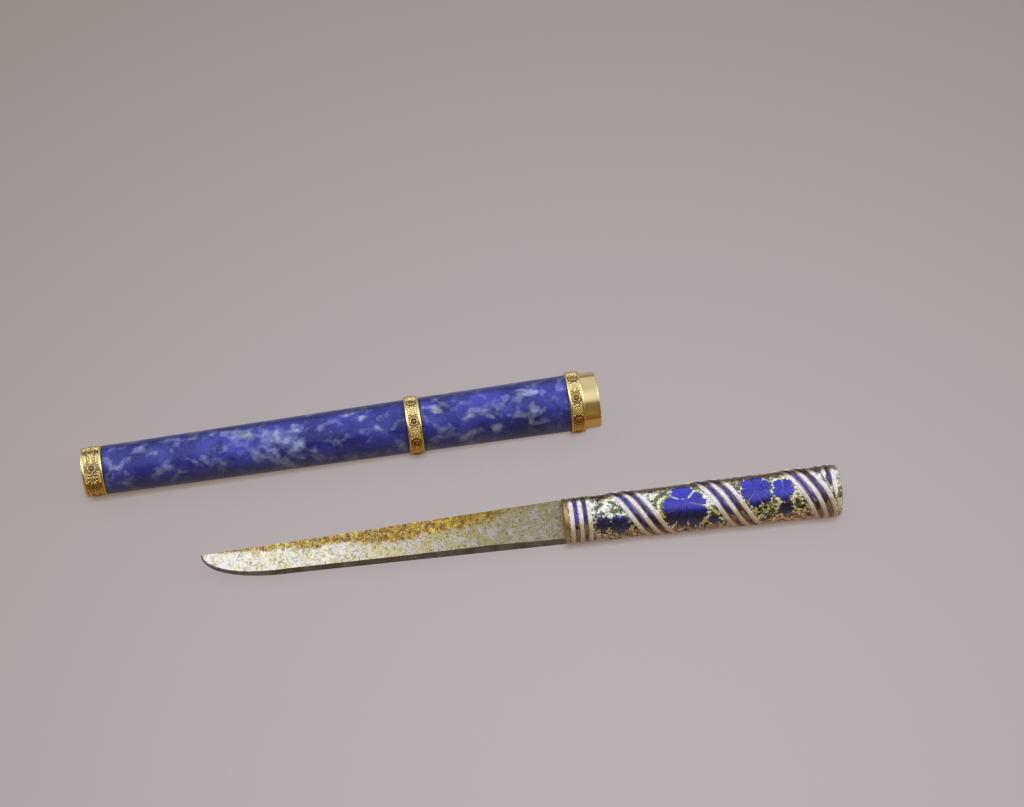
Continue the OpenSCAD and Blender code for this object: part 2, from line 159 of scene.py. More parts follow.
def value_noise(points, size, seed):
    """Smooth noise from -1 to 1 at points in mm, with features about size mm across."""
    p = np.asarray(points) / size + seed * 17.31
    cell = np.floor(p).astype(np.int64)
    f = p - cell
    f = f * f * (3 - 2 * f)
    total = np.zeros(p.shape[:-1])
    for corner in range(8):
        d = np.array([corner & 1, corner >> 1 & 1, corner >> 2 & 1])
        c = cell + d
        h = (c[..., 0] * 374761393 + c[..., 1] * 668265263 + c[..., 2] * 1274126177 + seed * 97) & 0xFFFFFFFF
        h = ((h ^ (h >> 13)) * 1103515245) & 0xFFFFFFFF
        v = ((h ^ (h >> 16)) & 0xFFFF) / 32767.5 - 1
        w = np.prod(np.where(d == 1, f, 1 - f), axis=-1)
        total = total + v * w
    return total


def uneven_skin(S, A, R, size, seed, depth):
    """What such noise takes off a turned form: depth in mm on average, and at most twice that."""
    a = np.radians(A)
    return value_noise(stacked(S, R * np.cos(a), R * np.sin(a)), size, seed) * depth - depth


def lap(angle):
    """An angle, counted from -90, the line that lies on the table, up to 270."""
    return (np.asarray(angle) + 90) % 360 - 90


def band(angle, low, low_run, high, high_run):
    """0 outside two angles and 1 between them, reached inward from each after so many degrees."""
    a = lap(angle)
    return unit((high - a) / high_run) * unit((a - low) / low_run)


# Painted shade, in band's degrees: on the stone's far edge and toward the table, on the far edge
# of the glass, and the pale back between the glass's painted dark sides
STONE_FAR, STONE_LOW = (32, 16, 74, 15), (126, 46, 265, 30)
GLASS_FAR, GLASS_BACK = (32, 14, 68, 12), (-90, 30, 48, 16)


def gilt_side_shade(angle):
    """Painted side shade for gilding: 0 on the crown, as the part lies, and 1 from a little way down either side."""
    return unit((0.84 - np.sin(np.radians(np.asarray(angle)))) / 0.42)


# ---- meshes
def grid_faces(rows, cols, wrap_rows, wrap_cols, start=0):
    i = np.arange(rows if wrap_rows else rows - 1)
    j = np.arange(cols if wrap_cols else cols - 1)
    i, j = np.meshgrid(i, j, indexing="ij")
    i2, j2 = (i + 1) % rows, (j + 1) % cols
    quads = np.stack([i * cols + j, i * cols + j2, i2 * cols + j2, i2 * cols + j], -1)
    return (quads.reshape(-1, 4) + start).tolist()


def make(name, verts, faces, body, material, slot, tones, sharp=35, weld=None):
    """A piece that rides on a body in place of the node of its own name, with three tones per vertex."""
    mesh = bpy.data.meshes.new(name)
    mesh.from_pydata(np.asarray(verts).reshape(-1, 3).tolist(), [], faces)
    tones = tones.reshape(-1, 3)
    attr = mesh.color_attributes.new(name="tone", type="FLOAT_COLOR", domain="POINT")
    attr.data.foreach_set("color", np.column_stack([tones, np.ones(len(tones))]).ravel())
    bm = bmesh.new()
    bm.from_mesh(mesh)
    if weld:
        bmesh.ops.remove_doubles(bm, verts=bm.verts, dist=weld * MM)
    bmesh.ops.recalc_face_normals(bm, faces=bm.faces)
    bm.to_mesh(mesh)
    bm.free()
    mesh.polygons.foreach_set("use_smooth", [True] * len(mesh.polygons))
    mesh.set_sharp_from_angle(angle=math.radians(sharp))
    mesh.update()
    obj = bpy.data.objects.new(name, mesh)
    scene.collection.objects.link(obj)
    obj.data.materials.append(material)
    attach(obj, body)
    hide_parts(name)


class Patches:
    """Grids of points gathered into one mesh."""

    def __init__(self):
        self.verts, self.faces, self.tones = [], [], []

    def add(self, points, tones, disc=False):
        """A tube whose columns close round it, or a disc from its middle to its rim; open ends are capped."""
        rows, cols = points.shape[:2]
        index = np.arange(rows * cols).reshape(rows, cols) + len(self.verts)
        self.faces += grid_faces(rows, cols, disc, not disc, len(self.verts))
        self.faces += [cap.tolist() for cap in ([index[:, -1]] if disc else [index[0], index[-1]])]
        self.verts += points.reshape(-1, 3).tolist()
        self.tones.append(tones.reshape(-1, 3))

    def make(self, name, body, material, slot, **more):
        make(name, self.verts, self.faces, body, material, slot, np.concatenate(self.tones), **more)


def closed_profile(*corners):
    """Straight runs between corners (station, radius, steps), as one closed outline."""
    rows = []
    for (s0, r0, steps), (s1, r1, _) in zip(corners, corners[1:] + corners[:1]):
        rows += [(s0 + (s1 - s0) * t, r0 + (r1 - r0) * t) for t in np.arange(steps) / steps]
    return rows


# steps round the plain turned forms, the chased bands and the glass
TURN_STEPS, CHASED_STEPS, GLASS_STEPS = 192, 720, 300


def turn_angles(count):
    return np.arange(count)[:, None] * 360 / count


def rounded(s, r, radius, steps):
    """A corner's quarter circle, from radius r at station s."""
    return [(s + radius * math.sin(a), r - radius + radius * math.cos(a)) for a in np.linspace(0, np.pi / 2, steps)]


def revolve(name, axis, rows, count, material, slot, offset, tone, **more):
    """A closed outline of stations and radii, turned round an axis. offset is added to the radius."""
    S, R = (np.broadcast_to(v, (count, len(rows))) for v in np.array(rows).T)
    A = np.broadcast_to(turn_angles(count), S.shape)
    R = R + offset(S, A, R)
    make(name, axis.place(S, A, R), grid_faces(count, len(rows), True, True), axis.body, material, slot,
         tone(S, A, R), **more)


def dress(name, material):
    """A node that is shown as it comes from the pack, in that material."""
    node = frame["nodes"][name]
    node.data.materials.clear()
    node.data.materials.append(material)


# ---- shader nodes
def srgb(r, g, b):
    """A colour written as the 0..255 values it shows on screen."""
    def lin(c):
        c /= 255
        return c / 12.92 if c <= 0.04045 else ((c + 0.055) / 1.055) ** 2.4
    return (lin(r), lin(g), lin(b), 1)


def live(sockets, key):
    """The socket of that name that is in use, since Mix has one for each kind of data."""
    first = sockets[key]
    return first if first.enabled else next(s for s in sockets if s.name == key and s.enabled)


class Nodes:
    """Short ways to add nodes. A colour of three numbers is 0..255 as on screen, one of four is linear."""

    def __init__(self, owner):
        owner.use_nodes = True
        self.owner, self.tree = owner, owner.node_tree

    def put(self, socket, v):
        if isinstance(v, bpy.types.NodeSocket):
            self.tree.links.new(v, socket)
        else:
            socket.default_value = srgb(*v) if socket.type == "RGBA" and len(v) == 3 else v

    def add(self, kind, output, *first, **named):
        """A new node's output. Its first sockets take the plain values; Names are sockets, names are settings."""
        n = self.tree.nodes.new("ShaderNode" + kind)
        sockets = dict(enumerate(first))
        for key, v in named.items():
            if key[0].isupper():
                sockets[key.replace("_", " ")] = v
            else:
                setattr(n, key, v)
        for key, v in sockets.items():
            self.put(live(n.inputs, key), v)
        return live(n.outputs, output)

    def maths(self, op, *values):
        return self.add("Math", "Value", *values, operation=op, use_clamp=op in ("ADD", "SUBTRACT", "MULTIPLY"))

    def plus(self, a, b):
        return self.maths("ADD", a, b)

    def minus(self, a, b):
        return self.maths("SUBTRACT", a, b)

    def times(self, a, b):
        return self.maths("MULTIPLY", a, b)

    def dot(self, vector, direction):
        return self.add("VectorMath", "Value", vector, direction, operation="DOT_PRODUCT")

    def level(self, fac, low, high, a=0.0, b=1.0, kind="LINEAR"):
        """fac, mapped from low..high to a..b and kept in that range."""
        return self.add("MapRange", "Result", interpolation_type=kind, Value=fac,
                        From_Min=low, From_Max=high, To_Min=a, To_Max=b)

    def mix(self, fac, a, b, blend="MIX"):
        return self.add("Mix", "Result", data_type="RGBA", blend_type=blend, Factor=fac, A=a, B=b)

    def over(self, colour, *layers):
        """Layers of a mask and a colour, each laid over what is there."""
        for mask, coat in layers:
            colour = self.mix(mask, colour, coat)
        return colour

    def ramp(self, fac, *stops):
        """Stops of a place and a colour."""
        n = self.tree.nodes.new("ShaderNodeValToRGB")
        els = n.color_ramp.elements
        while len(els) < len(stops):
            els.new(0.5)
        for e, (pos, *colour) in zip(els, stops):
            e.position = pos
            e.color = colour if len(colour) == 4 else srgb(*colour)
        self.put(n.inputs["Fac"], fac)
        return n.outputs["Color"]


class Paint(Nodes):
    """A material, with patterns measured in mm."""

    def __init__(self, name):
        super().__init__(bpy.data.materials.new(name))
        self.bsdf = self.tree.nodes["Principled BSDF"]
        self.mm = self.add("Mapping", "Vector", self.add("TexCoord", "Object"), Scale=(1 / MM,) * 3)

    def stretched(self, share, turn):
        """The place in mm, drawn out along one direction."""
        return self.add("Mapping", "Vector", self.mm, Scale=(share, 1, 1), Rotation=(0, 0, turn))

    def noise(self, size, detail=3.0, rough=0.55, distort=0.0, vector=None):
        """Noise with features about size mm across."""
        return self.add("TexNoise", "Fac", Vector=vector or self.mm, Scale=1 / size, Detail=detail,
                        Roughness=rough, Distortion=distort)

    def cells(self, size, output="Color", feature="F1", vector=None):
        return self.add("TexVoronoi", output, feature=feature, Vector=vector or self.mm, Scale=1 / size)

    def channel(self, colour, index):
        return self.add("SeparateColor", index, colour)

    def tone(self, index):
        """One of the piece's own three tones."""
        return self.channel(self.add("Attribute", "Color", attribute_name="tone"), index)

    def bump(self, height, depth, strength=1.0, **under):
        """A bump of that depth in mm."""
        return self.add("Bump", "Normal", Strength=strength, Distance=depth * MM, Height=height, **under)

    def finish(self, colour, rough, metal, normal, **values):
        values.update(Base_Color=colour, Roughness=rough, Metallic=metal, Normal=normal)
        for key, v in values.items():
            self.put(self.bsdf.inputs[key.replace("_", " ")], v)
        return self.owner


# ---- materials
def lapis_stone():
    """Tone 0 marks the far edge, painted dark, tone 1 the side toward the table, painted in shade, and tone 2 a
    painted shadow line along the bands.
    """
    n = Paint("lapis_stone")
    long = n.stretched(0.8, 0.35)
    broad = n.noise(11.0, 2.0, 0.5, 0.3, long)
    cluster = n.noise(9.0, 2.0, 0.5, 0.4, long)
    spots = n.noise(3.2, 2.0, 0.45, 0.25, long)
    fine = n.noise(0.9, 4.0, 0.6, 0.3)
    deep = n.noise(5.2, 3.0, 0.55, 0.5)
    vein = n.cells(5.5, "Distance", "DISTANCE_TO_EDGE", long)
    cloud = n.plus(n.times(spots, 0.62), n.times(cluster, 0.38))
    cloud = n.plus(cloud, n.times(n.minus(fine, 0.5), 0.12))
    pale = n.ramp(n.noise(7.0, 1.0), (0.38, 124, 134, 190), (0.52, 140, 150, 184), (0.66, 126, 138, 142))
    colour = n.over(
        n.ramp(broad, (0.34, 30, 36, 110), (0.50, 46, 52, 142), (0.66, 62, 69, 163)),
        (n.level(deep, 0.48, 0.68, 0.0, 0.8), (23, 29, 88)),
        (n.level(fine, 0.55, 0.75, 0.0, 0.35), (92, 98, 182)),
        (n.level(cloud, 0.505, 0.64, 0.0, 0.8), pale),
        (n.level(cloud, 0.61, 0.70, 0.0, 0.45), (192, 196, 214)),
        (n.level(vein, 0.0, 0.03, 0.4, 0.0), (26, 28, 74)),
        # pyrite
        (n.level(n.noise(0.45, 2.0), 0.74, 0.77, 0.0, 0.7), (196, 176, 120)),
        # painted shade: a dark far edge, a darker side toward the table and a shadow line along the bands
        (n.times(n.tone(0), 0.75), (22, 26, 74)),
        (n.times(n.tone(1), 0.6), (40, 34, 48)),
        (n.times(n.tone(2), 0.7), (34, 26, 46)))
    rough = n.level(fine, 0.3, 0.7, 0.24, 0.36)
    return n.finish(colour, rough, 0.0, n.bump(fine, 0.02, 0.6), Specular_IOR_Level=0.4)


def gold(name, bright, dark, rough, relief=0.02, toned=False):
    """Gilding. Tone 0 is 0 in the hollows and tone 1 grows toward the sides, where a deeper amber is painted shade
    and warm reflection.
    """
    n = Paint(name)
    wear = n.noise(1.6, 4.0, 0.6, 0.3)
    tiny = n.noise(0.22, 2.0)
    colour = n.mix(n.level(wear, 0.35, 0.7, 0.0, 0.55), bright, dark)
    if toned:
        colour = n.over(
            colour,
            # painted shade and warm reflection: a deeper amber down the sides
            (n.times(n.tone(1), 0.85), (216, 160, 52)),
            (n.level(n.tone(0), 0.0, 0.8, 0.85, 0.0), (82, 54, 14)))
    dull = n.plus(n.times(wear, 0.6), n.times(tiny, 0.4))
    return n.finish(colour, n.level(dull, 0.3, 0.75, *rough), 1.0, n.bump(tiny, relief, 0.5))


chased_gold = gold("chased_gold", (240, 224, 164), (218, 188, 104), (0.18, 0.40), 0.03, toned=True)
plain_gold = gold("plain_gold", (238, 222, 168), (228, 204, 132), (0.14, 0.28), 0.006, toned=True)
inner_brass = gold("inner_brass", (170, 130, 64), (96, 66, 30), (0.35, 0.6))
ferrule_gold = gold("ferrule_gold", (186, 158, 108), (122, 94, 58), (0.3, 0.55))


def enamel(name, a, b):
    n = Paint(name)
    colour = n.mix(n.level(n.noise(0.5, 2.0, 0.6), 0.36, 0.62), a, b)
    return n.finish(colour, 0.42, 0.0, n.bump(n.noise(0.3, 2.0), 0.02), Specular_IOR_Level=0.25)


def blade_steel():
    """Tone 0 runs from the heel to the point, tone 1 is the tarnish and tone 2 marks the bevel."""
    n = Paint("blade_steel")
    along, tarnish, bevel = n.tone(0), n.tone(1), n.tone(2)
    speck = n.noise(0.95, 3.0, 0.75)
    grain = n.noise(0.5, 2.0, 0.7)
    mottle = n.noise(2.8, 4.0, 0.65, 0.8)
    spots = n.noise(1.8, 3.0, 0.65, 0.6)
    patch = n.noise(5.0, 2.0, 0.5, 0.6)
    clean = n.over(
        n.ramp(along, (0.0, 144, 134, 110), (0.22, 154, 144, 112), (0.36, 180, 168, 124),
                       (0.50, 210, 201, 162), (0.66, 246, 242, 214), (1.0, 254, 253, 232)),
        (n.level(patch, 0.46, 0.56, 0.0, 0.75), n.mix(along, (156, 144, 138), (246, 244, 250))),
        (n.level(mottle, 0.47, 0.58, 0.0, 0.7), n.mix(along, (132, 126, 70), (226, 218, 136))))
    golden = n.mix(
        n.level(along, 0.12, 0.34, 0.8, 0.0),
        n.ramp(spots, (0.34, 90, 58, 4), (0.43, 144, 96, 4), (0.53, 184, 144, 14), (0.64, 214, 200, 84)),
        (110, 96, 44))
    amount = n.plus(tarnish, n.times(n.minus(mottle, 0.5), 2.4))
    thick = n.plus(speck, n.times(tarnish, 0.04))
    # painted glints: sparse near-white flecks, fewer under the tarnish
    light = n.times(n.level(grain, 0.53, 0.60), n.level(amount, 0.3, 0.8, 1.0, 0.6))
    colour = n.over(
        clean,
        (n.level(amount, 0.25, 0.62, 0.0, 0.95), golden),
        (n.level(thick, 0.53, 0.60, 0.0, 0.62), n.mix(along, (92, 84, 54), (104, 84, 34))),
        # painted glints, more toward the point
        (n.times(light, n.level(along, 0.25, 0.65, 0.15, 0.7)), (254, 252, 232)),
        (bevel, n.mix(n.level(patch, 0.4, 0.6), (116, 112, 122), (142, 140, 154))))
    rough = n.add("Mix", "Result", Factor=bevel, A=n.level(speck, 0.3, 0.7, 0.26, 0.5), B=0.2)
    return n.finish(colour, rough, 0.95, n.bump(speck, 0.03, 0.7))


# the glass over the foil and on the threads
CLEAR_SKIN = dict(Coat_Weight=0.15, Coat_Roughness=0.05, Specular_IOR_Level=0.3)


def handle_ground():
    """Crackled foil under clear glass, with painted shade: tone 0 grows toward the shaded sides, tone 1 between
    neighbour threads, where more than 1 marks the dark far edge, and tone 2 toward the table, for a painted warm
    reflection."""
    n = Paint("handle_ground")
    flake = n.cells(1.2)
    small = n.cells(0.6)
    cloud = n.plus(n.times(n.noise(2.0, 3.0, 0.6, 0.5), 0.6), n.times(n.channel(flake, 0), 0.4))
    # mint near the ferrule, straw further on
    zero = float(np.dot(knife.zero, knife.along))
    station = n.dot(n.mm, tuple(knife.along))
    region = n.plus(n.noise(7.0, 1.0), n.level(station, zero + 22, zero + 38, -0.14, 0.02))
    mint = n.ramp(cloud, (0.32, 120, 140, 112), (0.44, 206, 216, 200), (0.60, 246, 248, 240))
    straw = n.ramp(cloud, (0.32, 104, 112, 52), (0.44, 196, 198, 128), (0.60, 246, 242, 196))
    # painted shade: olive on the sides; painted warm reflection of the floor: amber toward the table
    olive_side_shade = n.ramp(cloud, (0.34, 30, 26, 12), (0.47, 84, 78, 36), (0.60, 190, 178, 108))
    amber_floor_reflection = n.ramp(cloud, (0.30, 60, 32, 6), (0.44, 150, 100, 26), (0.62, 214, 166, 76))
    green = n.ramp(n.noise(0.8, 2.0), (0.40, 28, 40, 26), (0.52, 60, 78, 50), (0.66, 136, 152, 96))
    # painted shade between neighbour threads
    groove_shade = n.mix(n.tone(2), n.mix(n.tone(0), (96, 82, 80), (50, 36, 26)), (150, 100, 44))
    # two sets of long narrow shapes, each in its own places
    one, other = (n.noise(1.5, 2.0, 0.55, 0.5, n.stretched(0.45, turn)) for turn in (0.9, -0.5))
    leafy = n.plus(n.times(n.maths("MAXIMUM", one, other), 0.65), n.times(n.noise(4.5, 1.0), 0.35))

    def broken(tone, spread):
        return n.plus(tone, n.times(n.minus(cloud, 0.45), spread))

    colour = n.over(
        n.mix(n.level(region, 0.44, 0.54), mint, straw),
        (n.level(leafy, 0.535, 0.56, 0.0, 0.92), green),
        # painted side shade, then the painted warm reflection toward the table
        (n.level(broken(n.tone(0), 0.9), 0.15, 0.6), olive_side_shade),
        (n.level(broken(n.tone(2), 0.8), 0.3, 0.7), amber_floor_reflection),
        (n.level(n.channel(small, 0), 0.80, 0.84, 0.0, 0.75), (252, 248, 218)),
        (n.level(n.channel(small, 1), 0.14, 0.10, 0.0, 0.7), (48, 42, 26)),
        # painted shade between neighbour threads and a painted dark far edge
        (n.level(n.tone(1), 0.0, 1.0, 0.0, 0.88), groove_shade),
        (n.level(n.tone(1), 1.05, 1.9, 0.0, 0.9), (30, 26, 22)))
    normal = n.bump(n.channel(small, 1), 0.04, 0.7, Normal=n.bump(n.channel(flake, 2), 0.06, 0.6))
    return n.finish(colour, 0.30, 0.25, normal, **CLEAR_SKIN)


def cane(name, light, dark, speck, side, other_side, back, under):
    """A glass thread with streaks. Tone 0 grows toward the sides, painted in shade with side and other_side, tone 1
    marks the far edge, painted dark with back, and tone 2 grows toward the table, with under as a painted warm
    reflection."""
    n = Paint(name)
    streak = n.noise(1.1, 4.0, 0.7, 0.8)
    along = n.maths("MULTIPLY_ADD", n.noise(3.6, 2.0), 2.4, -1.2)
    colour = n.over(
        n.mix(n.level(streak, 0.40, 0.60), light, dark),
        # painted shade on the sides, a painted dark far edge and a painted warm reflection toward the table
        (n.level(n.plus(n.tone(0), along), 0.10, 0.8),
         n.mix(n.level(n.noise(5.0, 1.0), 0.46, 0.56), side, other_side)),
        (n.times(n.tone(1), 0.9), back),
        (n.times(n.tone(2), 0.75), under),
        (n.level(n.noise(0.55, 3.0, 0.7), 0.56, 0.64, 0.0, 0.6), speck))
    rough = n.level(streak, 0.3, 0.7, 0.14, 0.3)
    return n.finish(colour, rough, 0.0, n.bump(n.noise(0.5, 3.0), 0.03, 0.6), **CLEAR_SKIN)


def flower(name, light, dark, deep, line, streaks=0.7):
    """Petal glass. Tone 0 is 0 in the creases, tone 1 grows toward the sides, in painted shade, and tone 2 is the
    creases' own paleness."""
    n = Paint(name)
    streak = n.noise(streaks, 3.0, 0.65, 1.0)
    shade = n.plus(n.tone(1), n.times(n.minus(n.noise(1.6, 2.0), 0.5), 0.9))
    colour = n.over(
        light,
        (n.level(streak, 0.40, 0.66, 0.0, 0.8), dark),
        # painted shade: darker, then deep, toward the sides
        (n.level(shade, 0.05, 0.5), dark),
        (n.level(shade, 0.45, 0.95, 0.0, 0.95), deep),
        (n.level(n.tone(0), 0.0, 0.55, 0.85, 0.0), n.mix(n.tone(2), deep, line)))
    return n.finish(colour, 0.2, 0.0, n.bump(streak, 0.05, 0.7), Coat_Weight=0.35, Coat_Roughness=0.06)


# ---- camera
VIEW_TURN = math.radians(8.94)
VIEW_TILT = math.radians(60)
VIEW_DISTANCE = 0.778
VIEW_HALF = math.radians(13)  # from the middle of the picture to its left or right side
SENSOR = 36
LOOK_AT = Vector((0.0228, 0.0316, 0))
ahead = Vector((math.sin(VIEW_TURN), math.cos(VIEW_TURN), 0))

cam_data = bpy.data.cameras.new("camera")
cam = bpy.data.objects.new("camera", cam_data)
scene.collection.objects.link(cam)
cam.location = (LOOK_AT - ahead * VIEW_DISTANCE * math.cos(VIEW_TILT)
                + Vector((0, 0, VIEW_DISTANCE * math.sin(VIEW_TILT))))
cam.rotation_euler = (LOOK_AT - cam.location).to_track_quat("-Z", "Y").to_euler()
cam_data.sensor_fit = "HORIZONTAL"
cam_data.sensor_width = SENSOR
cam_data.lens = SENSOR / 2 / math.tan(VIEW_HALF)
cam_data.clip_start = 0.01
cam_data.clip_end = 20
scene.camera = cam
scene.view_settings.view_transform = "Standard"

# ---- floor
FLOOR_SIZE = 60  # m, so that it ends at the horizon
LIGHT_POOL_CENTRE = (40, -120, 0)  # mm; the floor's painted pool of light is palest here, below the middle of the view
LIGHT_POOL_REACH = 600  # mm from there to where it is all FLOOR_FAR
FLOOR_NEAR = (184, 175, 177)
FLOOR_FAR = (134, 126, 116)
FLOOR_OWN = 0.90  # share of the paper's tone that is its own glow, seen directly
FLOOR_MIRRORED = 0.3  # and seen in a mirror or through glass
CONTACT_REACH = 3.0  # mm round a contact that the painted close shadow covers


def floor_material():
    n = Paint("floor_paper")
    # a painted pool of light on the paper, palest at the pool's centre
    away = n.add("VectorMath", "Value", n.mm, LIGHT_POOL_CENTRE, operation="DISTANCE")
    colour = n.mix(n.level(away, 0.0, LIGHT_POOL_REACH, kind="SMOOTHSTEP"), FLOOR_NEAR, FLOOR_FAR)
    n.finish(colour, 0.85, 0.0, n.bump(n.noise(0.8, 3.0), 0.02, 0.3), Specular_IOR_Level=0.15)
    # part of the paper's tone is its own glow, seen directly or in a mirror, so the cast shadow stays faint
    camera, glossy, through = (n.add("LightPath", f"Is {ray} Ray") for ray in ("Camera", "Glossy", "Transmission"))
    mirrored = n.times(n.maths("MAXIMUM", glossy, through), FLOOR_MIRRORED)
    seen = n.maths("MAXIMUM", n.times(camera, FLOOR_OWN), mirrored)
    # the glow carries a painted warm contact shadow, from ambient occlusion close round the objects
    contact = n.add("AmbientOcclusion", "AO", samples=8, Distance=CONTACT_REACH * MM)
    close = n.ramp(contact, (0.0, 0.10, 0.06, 0.03, 1), (0.5, 0.60, 0.50, 0.41, 1), (0.85, 0.90, 0.83, 0.77, 1),
                   (1.0, 1, 1, 1, 1))
    own = n.add("Emission", "Emission", n.mix(1.0, colour, close, "MULTIPLY"))
    both = n.add("MixShader", "Shader", seen, n.bsdf.outputs["BSDF"], own)
    n.put(n.tree.nodes["Material Output"].inputs["Surface"], both)
    return n.owner


bpy.ops.mesh.primitive_plane_add(size=FLOOR_SIZE, location=(0, 0, 0))
floor = bpy.context.object
floor.name = "floor"
floor.data.materials.append(floor_material())

# ---- light
ROOM = (1.3, 1.0, 0.5)  # colour of the light from the room in front of the object
LAMPS = (0.985, 0.985, 1.06)  # and of the lamps above and behind it
ROOM_END = 0.31  # where the one ends, as a share of the turn from front to back
SIDE_RISE = (0.18, 0.38)  # sideways part of a direction, where the side light begins and is whole

world = bpy.data.worlds.new("studio")
scene.world = world
sky = Nodes(world)
direction = sky.add("TexCoord", "Generated")
# 0 is the horizon in front of the object, where the camera stands, and 1 the one behind it
front = sky.dot(direction, (-ahead.x, -ahead.y, 0))
turn = sky.maths("DIVIDE", sky.maths("ARCTAN2", sky.add("SeparateXYZ", "Z", direction), front), math.pi)


def light_ramp(*stops):
    """The light round that turn, for places on it and strengths."""
    tints = [ROOM if pos < ROOM_END else LAMPS for pos, _ in stops]
    return sky.ramp(turn, *((pos, *(v * c for c in tint), 1) for (pos, v), tint in zip(stops, tints)))


# the light in the plane through the camera, and to either side of it
middle = light_ramp((0.0, 0.42), (0.09, 0.24), (0.27, 0.17), (0.345, 0.96), (0.48, 0.96), (0.60, 0.66),
                    (0.92, 0.74), (0.96, 0.35), (0.985, 0.15))
side = light_ramp((0.0, 0.12), (0.36, 0.16), (0.47, 2.7), (0.69, 2.7), (0.78, 0.8), (0.92, 0.32), (0.99, 0.15))
across = sky.maths("ABSOLUTE", sky.dot(direction, (ahead.y, -ahead.x, 0)))
light = sky.mix(sky.level(across, *SIDE_RISE, kind="SMOOTHSTEP"), middle, side)
# seen directly, past the floor's edge, the world is as pale as the far floor
background = sky.tree.nodes["Background"]
sky.put(background.inputs["Color"], sky.mix(sky.add("LightPath", "Is Camera Ray"), light, FLOOR_FAR))
background.inputs["Strength"].default_value = 1.0


# ---- sheath
stone = lapis_stone()


def stone_sleeve(name, s0, s1):
    chip = 0.1       # the broken edges
    steps = max(12, int((s1 - s0) / 1.2))
    rows = closed_profile(
        (s0 + chip, stone_r(s0 + chip), steps), (s1 - chip, stone_r(s1 - chip), 2),
        (s1, stone_r(s1) - chip, 1), (s1, stone_r(s1) - STONE_WALL, 12),
        (s0, stone_r(s0) - STONE_WALL, 1), (s0, stone_r(s0) - chip, 2))

    def waves(S, A, R):
        out = unit((R - (stone_r(S) - STONE_WALL)) / STONE_WALL)
        return uneven_skin(S, A, R, 9.0, 3, 0.03) * out

    def sides(S, A, R):
        """Painted shade on the dark far edge and on the lower one that turns to the table, and a painted shadow line
        along the bands.
        """
        edges = (CAP_LEN, MIDDLE_S - BAND_W / 2, MIDDLE_S + BAND_W / 2, THROAT_S - BAND_W / 2)
        away = np.min([np.abs(S - edge) for edge in edges], axis=0)
        return stacked(band(A, *STONE_FAR), band(A, *STONE_LOW), unit(1.25 - away / 0.8))

    revolve(name, sheath, rows, TURN_STEPS, stone, "lapis", waves, sides)


collar_s = THROAT_S + BAND_W / 2 - 2 * RIM_R
stone_sleeve("tip_sleeve", CAP_LEN + SLIT, JOINT_S - SLIT / 2)
stone_sleeve("long_sleeve", JOINT_S + SLIT / 2, MIDDLE_S - SLIT / 2)
stone_sleeve("throat_sleeve", MIDDLE_S + SLIT / 2, collar_s - SLIT)


def strokes(cell, half):
    """The chased drawing in one cell, from rosette to rosette: points round and along the band, and widths."""
    lines = []
    t = np.linspace(0, 1, 40)
    quarter = cell / 2
    for side in (1, -1):
        for flip in (1, -1):
            # a stem that leaves the rosette and curls into a scroll
            cx, cy = 0.66 * quarter + 0.35, flip * half * 0.42
            bend = np.radians(200 * flip + 430 * flip * t)
            rad = half * 0.5 * (1 - 0.78 * t)
            x = cx + rad * np.cos(bend) * 0.9
            y = cy + rad * np.sin(bend)
            lines.append((side * x, y, 0.27 * (1 - 0.35 * t)))
            # leaf lobes along the rim
            for place in (0.48, 0.72, 0.95):
                px = place * quarter
                lines.append((side * (px + np.linspace(-0.28, 0.18, 9)),
                              flip * (half * (0.98 - 0.30 * np.sin(np.linspace(0, np.pi, 9)))),
                              np.full(9, 0.2)))
        # a bud between two cells
        lines.append((side * (quarter - 0.08 + np.zeros(9)), np.linspace(-0.35, 0.35, 9) * half, np.full(9, 0.28)))
    return lines


def chased(u, v, cell, half):
    """Relief height in mm at places round (u) and along (v) the strip."""
    u = (u + cell / 2) % cell - cell / 2
    best = np.zeros(np.shape(u))
    for x, y, w in strokes(cell, half):
        for px, py, pw in zip(x, y, w):
            d = np.hypot(u - px, v - py) / pw
            best = np.maximum(best, np.sqrt(unit(1 - d * d)) * pw)
    return best


